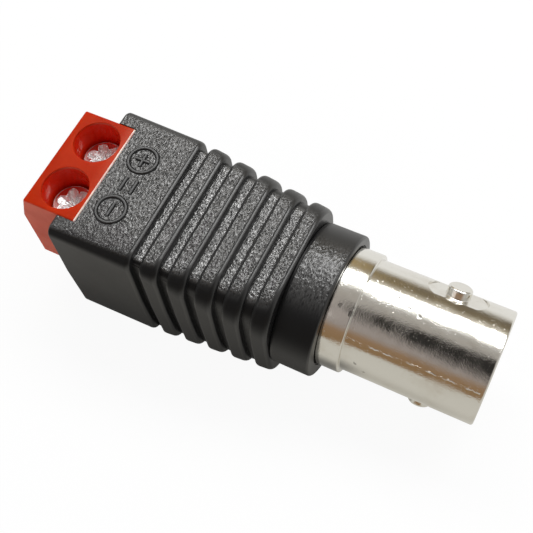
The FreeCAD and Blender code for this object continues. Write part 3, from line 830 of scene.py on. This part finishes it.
def stud_flat(angle):
    """The cutter for the flat round a stud: a slab with round ends, above the flat."""
    half, reach, lip, arc_steps = 1.45, 1.0, 0.08, 48
    outline = []
    for k in range(arc_steps + 1):
        turn = math.pi * (k / arc_steps - 0.5)
        outline.append((STUD_X + reach + half * math.cos(turn), half * math.sin(turn)))
    outline += [(2 * STUD_X - a, -b) for a, b in outline]
    count = len(outline)
    verts = []
    for level, grow in ((FLAT_R, 0.0), (FLAT_R + lip, 0.02), (FLAT_R + 1.0, 0.3)):
        for a, b in outline:
            away = Vector((a - STUD_X, b)).normalized() * grow
            verts.append((a + away.x, level, b + away.y))
    ends = [tuple(range(count)), tuple(range(3 * count - 1, 2 * count - 1, -1))]
    return about_jack(face_outward(piece_from("stud_flat", verts, walls(count, 2) + ends)), angle)


def stud(angle):
    """A stud with a softly domed tip and a small fillet at its foot."""
    tip, radius, fillet, dome = 5.5, 0.98, 0.14, 0.2
    outline = [(0.0, FLAT_R - 0.5), (radius + fillet, FLAT_R - 0.5), (radius + fillet, FLAT_R)]
    outline += [(radius + fillet * (1 - math.sin(t)), FLAT_R + fillet * (1 - math.cos(t)))
                for t in [QUARTER * k / 6 for k in range(1, 7)]]
    outline += [(radius - dome * (1 - math.cos(t)), tip - 0.03 - dome * (1 - math.sin(t)))
                for t in [QUARTER * k / 8 for k in range(9)]]
    outline += [(0.4, tip - 0.008), (0.0, tip)]
    piece = turned("stud", [(up, r) for r, up in outline], 96, along="Z")
    lay_down = Matrix.Rotation(-QUARTER, 4, "X")
    piece.data.transform(Matrix.Translation((STUD_X * MM, 0, 0)) @ lay_down)
    return about_jack(face_outward(piece), angle)


def seam():
    """The low, uneven ridge along the barrel where the mould's halves met."""
    chance = random.Random(11)
    first, length, steps, sunk, side = -11.2, 10.85, 54, 0.1, math.radians(139.5)
    verts = []
    for k in range(steps + 1):
        x = first + length * k / steps
        rise, lean = chance.uniform(0.0, 0.024), chance.uniform(-0.05, 0.05)
        half = chance.uniform(0.07, 0.12)
        for r, z in ((BARREL_R - sunk, -half), (BARREL_R + rise * 0.3, -half * 0.6),
                     (BARREL_R + rise, 0.0), (BARREL_R + rise * 0.3, half * 0.6),
                     (BARREL_R - sunk, half)):
            verts.append((x, r, z + lean))
    ends = [tuple(range(5)), tuple(range(len(verts) - 1, len(verts) - 6, -1))]
    return about_jack(face_outward(piece_from("seam", verts, walls(5, steps) + ends)), side)


def barrel():
    piece = turned("barrel", rounded(BARREL_PROFILE))
    for half_turn in (0.0, math.pi):
        join(piece, [stud_flat(STUD_ANGLE + half_turn)], "DIFFERENCE")
        join(piece, [stud(STUD_ANGLE + half_turn)], "UNION")
    join(piece, [seam()], "UNION")
    finished(piece, (nickel,), "jack_barrel")


barrel()

# %% [markdown]
# ## The terminal housing
#
# The red housing is a block with two round wells from above, where a screwdriver reaches the
# screws, and two wire entries in its back. Its edges are bevelled before the wells are cut, and
# each well's cutter flares at the top, so the rims are rounded too.

# %% Housing
TOP, BOTTOM, HALF_WIDTH, BEVEL = 6.65, -2.65, 5.0, 0.15
HOUSING_PROFILE = [(-39.7, TOP), (-40.74, 3.7), (-40.84, BOTTOM), (-32.6, BOTTOM), (-32.6, 4.7),
                   (-34.6, 4.7), (-34.6, TOP)]
WELL_FLOOR, RIM = 0.95, 0.12
CHAMBER_HALF, CHAMBER_Z, SLOT_HALF, SLOT_Z = 1.95, (-2.35, 1.05), 1.0, (-2.35, -1.2)


def bevelled(piece, width):
    step = piece.modifiers.new("bevel", "BEVEL")
    step.width = width * MM
    step.segments = 3
    step.limit_method = "ANGLE"
    step.angle_limit = math.radians(20)
    return baked(piece)


def wire_entry(y):
    """A square hole that widens at the back, to lead a stranded wire in."""
    verts = []
    for x, grow in ((-41.9, 0.3), (-40.85, 0.3), (-40.25, 0.0), (-39.5, 0.0)):
        w, low, high = 1.7 + grow, -1.85 - grow, 0.35 + grow
        verts += [(x, y - w, low), (x, y + w, low), (x, y + w, high), (x, y - w, high)]
    ends = [(0, 1, 2, 3), (15, 14, 13, 12)]
    return face_outward(piece_from("wire_entry", verts, ends + walls(4, 3)))


def housing():
    shell = prism("housing", HOUSING_PROFILE, -HALF_WIDTH, HALF_WIDTH, along="Y")
    piece = bevelled(shell, BEVEL)
    well = rounded([(WELL_FLOOR, 0.0, 0), (WELL_FLOOR, WELL_R, 0), (TOP - 0.04, WELL_R, 0.05),
                    (TOP + 0.05, WELL_R + RIM, 0.0), (TOP + 0.05, 0.0, 0)], 8)
    for y in (POLE_Y, -POLE_Y):
        cuts = [turned("well", [(z, r) for z, r in well], 128, along="Z", centre=(WELL_X, y)),
                block("chamber", (-39.6, -34.4), (y - CHAMBER_HALF, y + CHAMBER_HALF), CHAMBER_Z),
                block("tail_slot", (-34.5, -31.6), (y - SLOT_HALF, y + SLOT_HALF), SLOT_Z),
                wire_entry(y)]
        join(piece, cuts, "DIFFERENCE")
    finished(piece, (red,), "terminal_housing")


housing()

# %% [markdown]
# ## The clamp screws
#
# Both screws are the same, so one function makes them and each gets its own seed. The six-armed
# recess is punched cold. That leaves torn arms, leaning walls with facets that glitter, and a burr
# round the edge. So each point of the punch's outline is moved a little at random, and the recess
# and its burr get a paler, bluer zinc than the head: partly torn metal, partly painted light that
# offsets the red light from the well's walls and stands in for the glints.

# %% Clamp screws
HEAD_R, HEAD_TOP, HEAD_FLOOR, SHANK_R, SHANK_TIP = 1.8, 4.2, 2.8, 1.25, 0.02
ARMS, ARM_LENGTH, ARM_HALF, FIRST_ARM = 6, 1.56, 0.42, math.radians(-2)
RECESS_DEPTH, BURR = 0.62, 0.05
PUNCH_ROWS = ((1.0, -0.8, 0.0), (1.0, 0.03, 0.0), (0.62, 0.36, 0.14), (0.3, 0.5, 0.1))


def star_outline(centre, grow, chance):
    """Corners of the six-armed recess, each moved a little at random."""
    points = []
    for arm in range(ARMS):
        spin = FIRST_ARM + arm * 2 * math.pi / ARMS + chance.uniform(-0.05, 0.2)
        length = ARM_LENGTH + chance.uniform(-0.16, 0.1)
        for a, b in ((0.74, -ARM_HALF), (1.05, -ARM_HALF * 0.95), (length - 0.14, -ARM_HALF * 0.7),
                     (length, 0.0), (length - 0.14, ARM_HALF * 0.7), (1.05, ARM_HALF * 0.95)):
            a += grow + chance.uniform(-0.04, 0.04)
            b = b * (1 + grow / ARM_HALF) + chance.uniform(-0.04, 0.04)
            points.append((centre[0] + a * math.cos(spin) - b * math.sin(spin),
                           centre[1] + a * math.sin(spin) + b * math.cos(spin)))
    return points


def punch(centre, chance):
    """The cutter: straight above the head, then two rings of uneven facets down to a low point."""
    edge = star_outline(centre, 0.0, chance)
    count = len(edge)
    verts = []
    for scale, depth, uneven in PUNCH_ROWS:
        verts += [(centre[0] + (a - centre[0]) * scale, centre[1] + (b - centre[1]) * scale,
                   HEAD_TOP - depth + chance.uniform(-uneven, uneven)) for a, b in edge]
    verts.append((*centre, HEAD_TOP - RECESS_DEPTH))
    last = 3 * count
    faces = [tuple(range(count))] + walls(count, 3)
    faces += [(last + i, last + (i + 1) % count, 4 * count) for i in range(count)]
    return face_outward(piece_from("punch", verts, faces))


def is_torn(spot, centre):
    """True for a face of the recess or its burr, but not for the head's flat top."""
    up = spot.z / MM
    in_head = HEAD_TOP - RECESS_DEPTH - 0.2 < up < HEAD_TOP + 0.1
    inside = math.hypot(spot.x / MM - centre[0], spot.y / MM - centre[1]) < ARM_LENGTH + 0.2
    return in_head and inside and not abs(up - HEAD_TOP) < 0.001


def screw(pole, side, seed):
    centre = (WELL_X, side * POLE_Y)
    outline = rounded([(SHANK_TIP, 0.0, 0), (SHANK_TIP, SHANK_R - 0.2, 0),
                       (SHANK_TIP + 0.2, SHANK_R, 0), (HEAD_FLOOR, SHANK_R, 0),
                       (HEAD_FLOOR, HEAD_R, 0.05), (HEAD_TOP, HEAD_R, 0.14),
                       (HEAD_TOP, 0.0, 0)], 8)
    piece = turned("clamp_screw_" + pole, outline, 128, along="Z", centre=centre)
    star = star_outline(centre, 0.07, random.Random(seed))
    join(piece, [prism("burr", star, HEAD_TOP - 0.1, HEAD_TOP + BURR)], "UNION")
    join(piece, [punch(centre, random.Random(seed))], "DIFFERENCE")
    for face in piece.data.polygons:
        face.material_index = int(is_torn(face.center, centre))
    finished(piece, (zinc, torn_and_painted_bright_zinc), "clamp_screw_" + pole, "screw_" + pole)


screw("plus", 1, 4)
screw("minus", -1, 9)

# %% [markdown]
# ## Light, floor and camera
#
# The photograph was taken over white paper under one large soft light beyond the far side. The
# metal shows the rest of the room: paper below, a brown band at the horizon, a tan wall, a grey
# ceiling, and two dark shapes where the camera was. Only glossy rays see that room. All other
# rays see an even grey. The bands are listed by their angle round the jack, and each dark shape
# by its direction, its outer and inner angle, and its depth.

# %% The room that the metal reflects
BANDS = ((-178, (0.30, 0.19, 0.10)), (-170, (0.62, 0.58, 0.50)), (-100, (0.66, 0.62, 0.55)),
         (-5, (0.92, 0.91, 0.88)), (6, (0.62, 0.60, 0.55)), (14, (0.18, 0.15, 0.11)),
         (30, (0.20, 0.16, 0.10)), (41, (0.55, 0.50, 0.40)), (49, (1.25, 1.25, 1.22)),
         (68, (1.2, 1.2, 1.17)), (80, (0.45, 0.43, 0.40)), (128, (0.38, 0.34, 0.32)),
         (146, (0.34, 0.30, 0.28)), (158, (0.30, 0.19, 0.11)), (180, (0.27, 0.17, 0.085)))
DARK_SHAPES = (((0.30, -0.54, 0.79), 23.0, 16.0, 0.8), ((0.15, -0.39, 0.92), 17.5, 13.0, 1.0))
DARK, TAN, ROOM_ENDS = (0.03, 0.028, 0.026), (0.50, 0.37, 0.18), (0.55, 0.54, 0.52)
EVEN, WHITE = (0.42, 0.42, 0.42), (1.0, 1.0, 1.0)


def bands_of_the_room(tree, turn):
    """The room's colour by the angle round the jack's axis."""
    ramp = tree.nodes.new("ShaderNodeValToRGB")
    tree.links.new(turn.socket, ramp.inputs[0])
    steps = ramp.color_ramp.elements
    while len(steps) < len(BANDS):
        steps.new(0.5)
    for step, (degrees, colour) in zip(steps, BANDS):
        step.position = (degrees + 180.0) / 360.0
        step.color = (*colour, 1.0)
    return ramp.outputs["Color"]


def room():
    world = bpy.data.worlds.new("studio")
    bpy.context.scene.world = world
    world.use_nodes = True
    tree = world.node_tree
    background = tree.nodes["Background"]
    toward = tree.nodes.new("ShaderNodeTexCoord").outputs["Generated"]
    x, y, z = parts_of(tree, toward)
    turn = z.do("ARCTAN2", y) / (2 * math.pi) + 0.5
    shown = bands_of_the_room(tree, turn)
    for direction, outer, inner, depth in DARK_SHAPES:
        near = against(tree, "DOT_PRODUCT", toward, Vector(direction).normalized())
        limits = [math.cos(math.radians(angle)) for angle in (outer, inner)]
        shown = blend(tree, near.ramp(*limits) * depth, shown, DARK)
    degrees = turn * 360.0 - 180.0
    wall = degrees.ramp(8.0, 16.0) * degrees.ramp(28.0, 40.0).rest()
    wall = wall * (x * -1.0).ramp(0.03, 0.16) * 0.7
    shown = blend(tree, wall, shown, TAN)
    shown = blend(tree, x.do("ABSOLUTE").ramp(0.45, 0.9), shown, ROOM_ENDS)
    path = tree.nodes.new("ShaderNodeLightPath")
    lit = blend(tree, path.outputs["Is Glossy Ray"], EVEN, shown)
    seen, through = [Value(tree, path.outputs["Is %s Ray" % kind])
                     for kind in ("Camera", "Transmission")]
    tree.links.new(blend(tree, seen.most(through), lit, WHITE), background.inputs["Color"])


room()

# %% [markdown]
# The large soft light is a lamp like a window. A weak one keeps the near side from going dark.

# %% Lamps
def soft_lamp(name, direction, distance, size, power):
    """A rectangular lamp that faces the middle of the part."""
    lamp = bpy.data.lights.new(name, "AREA")
    lamp.shape = "RECTANGLE"
    lamp.size, lamp.size_y = size
    lamp.energy = power
    holder = in_scene(name, lamp)
    toward = Vector(direction).normalized()
    holder.location = Vector((-0.02, 0.0, 0.0)) + toward * distance
    holder.rotation_euler = toward.to_track_quat("Z", "Y").to_euler()


soft_lamp("window", (0.01, 0.53, 0.85), 0.5, (0.73, 0.176), 2.6)
soft_lamp("fill", (-0.6, -0.7, 0.5), 0.6, (0.4, 0.4), 0.25)

# %% [markdown]
# The paper is white and catches a soft shadow. The metal sees it bright beyond the part, with a
# painted shade on the near side and a painted shadow close under the jack, as in the photograph.

# %% The paper that it lies on
PAPER_HALF, GAP = 0.6, 0.00002
# Only the metal sees these colours: the second is a painted shade for the near side and the third a
# painted shadow close under the jack.
BEYOND, NEAR_PAINTED_SHADE, CLOSE_PAINTED_SHADOW = (0.84, 0.83, 0.80), (0.54, 0.515, 0.45), (0.10, 0.095, 0.085)


def white_paper():
    material = bpy.data.materials.new("white_paper")
    material.use_nodes = True
    tree = material.node_tree
    shader = tree.nodes["Principled BSDF"]
    shader.inputs["Base Color"].default_value = (0.9, 0.9, 0.9, 1.0)
    shader.inputs["Roughness"].default_value = 0.9
    glow = tree.nodes.new("ShaderNodeEmission")
    path = tree.nodes.new("ShaderNodeLightPath")
    mixed = tree.nodes.new("ShaderNodeMixShader")
    mirrored = Value(tree, path.outputs["Is Glossy Ray"])
    seen = Value(tree, path.outputs["Is Camera Ray"]) * 0.93 + mirrored * 0.8
    x, y, _ = parts_of(tree, tree.nodes.new("ShaderNodeTexCoord").outputs["Object"])
    # Painted shadow close under the jack, and painted shade on the near side, in what the metal
    # sees.
    close = y.ramp(-0.014, -0.0065) * x.ramp(-0.013, -0.009).rest()
    painted_shade = blend(tree, close, NEAR_PAINTED_SHADE, CLOSE_PAINTED_SHADOW)
    reflected = blend(tree, y.ramp(-0.01, 0.01), painted_shade, BEYOND)
    tree.links.new(blend(tree, mirrored, WHITE, reflected), glow.inputs["Color"])
    for source, slot in ((seen.socket, mixed.inputs[0]), (shader.outputs[0], mixed.inputs[1]),
                         (glow.outputs[0], mixed.inputs[2]),
                         (mixed.outputs[0], tree.nodes["Material Output"].inputs["Surface"])):
        tree.links.new(source, slot)
    return material


def paper():
    low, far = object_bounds()[0].z - GAP, PAPER_HALF
    corners = [(-far, -far, low), (far, -far, low), (far, far, low), (-far, far, low)]
    mesh = bpy.data.meshes.new("paper")
    mesh.from_pydata(corners, [], [(0, 1, 2, 3)])
    mesh.materials.append(white_paper())
    return in_scene("paper", mesh)


paper()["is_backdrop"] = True

# %% [markdown]
# The camera was worked out from the photograph, with the jack's standard barrel as its scale.
# The focal length and the centre are in pixels of the square picture.

# %% Camera
PIXELS = 533
FOCUS_PX = 868.43
CENTRE_PX = (263.38, 262.63)
EYE_MM = (-0.940, -28.056, 65.746)
RIGHT = Vector((0.89179, 0.44626, -0.07461))
DOWN = Vector((0.36449, -0.80628, -0.46590))
AHEAD = Vector((-0.26807, 0.38828, -0.88169))
lens = bpy.data.cameras.new("camera")
lens.sensor_width = 36.0
lens.lens = FOCUS_PX / PIXELS * lens.sensor_width
lens.shift_x = (PIXELS / 2 - 0.5 - CENTRE_PX[0]) / PIXELS
lens.shift_y = (CENTRE_PX[1] - PIXELS / 2 + 0.5) / PIXELS
lens.clip_start = 0.005
lens.clip_end = 5.0
camera = in_scene("camera", lens)
facing = Matrix((RIGHT, -DOWN, -AHEAD)).transposed().to_4x4()
camera.matrix_world = Matrix.Translation(Vector(EYE_MM) / 1000.0) @ facing
bpy.context.scene.camera = camera
bpy.context.scene.view_settings.view_transform = "Standard"
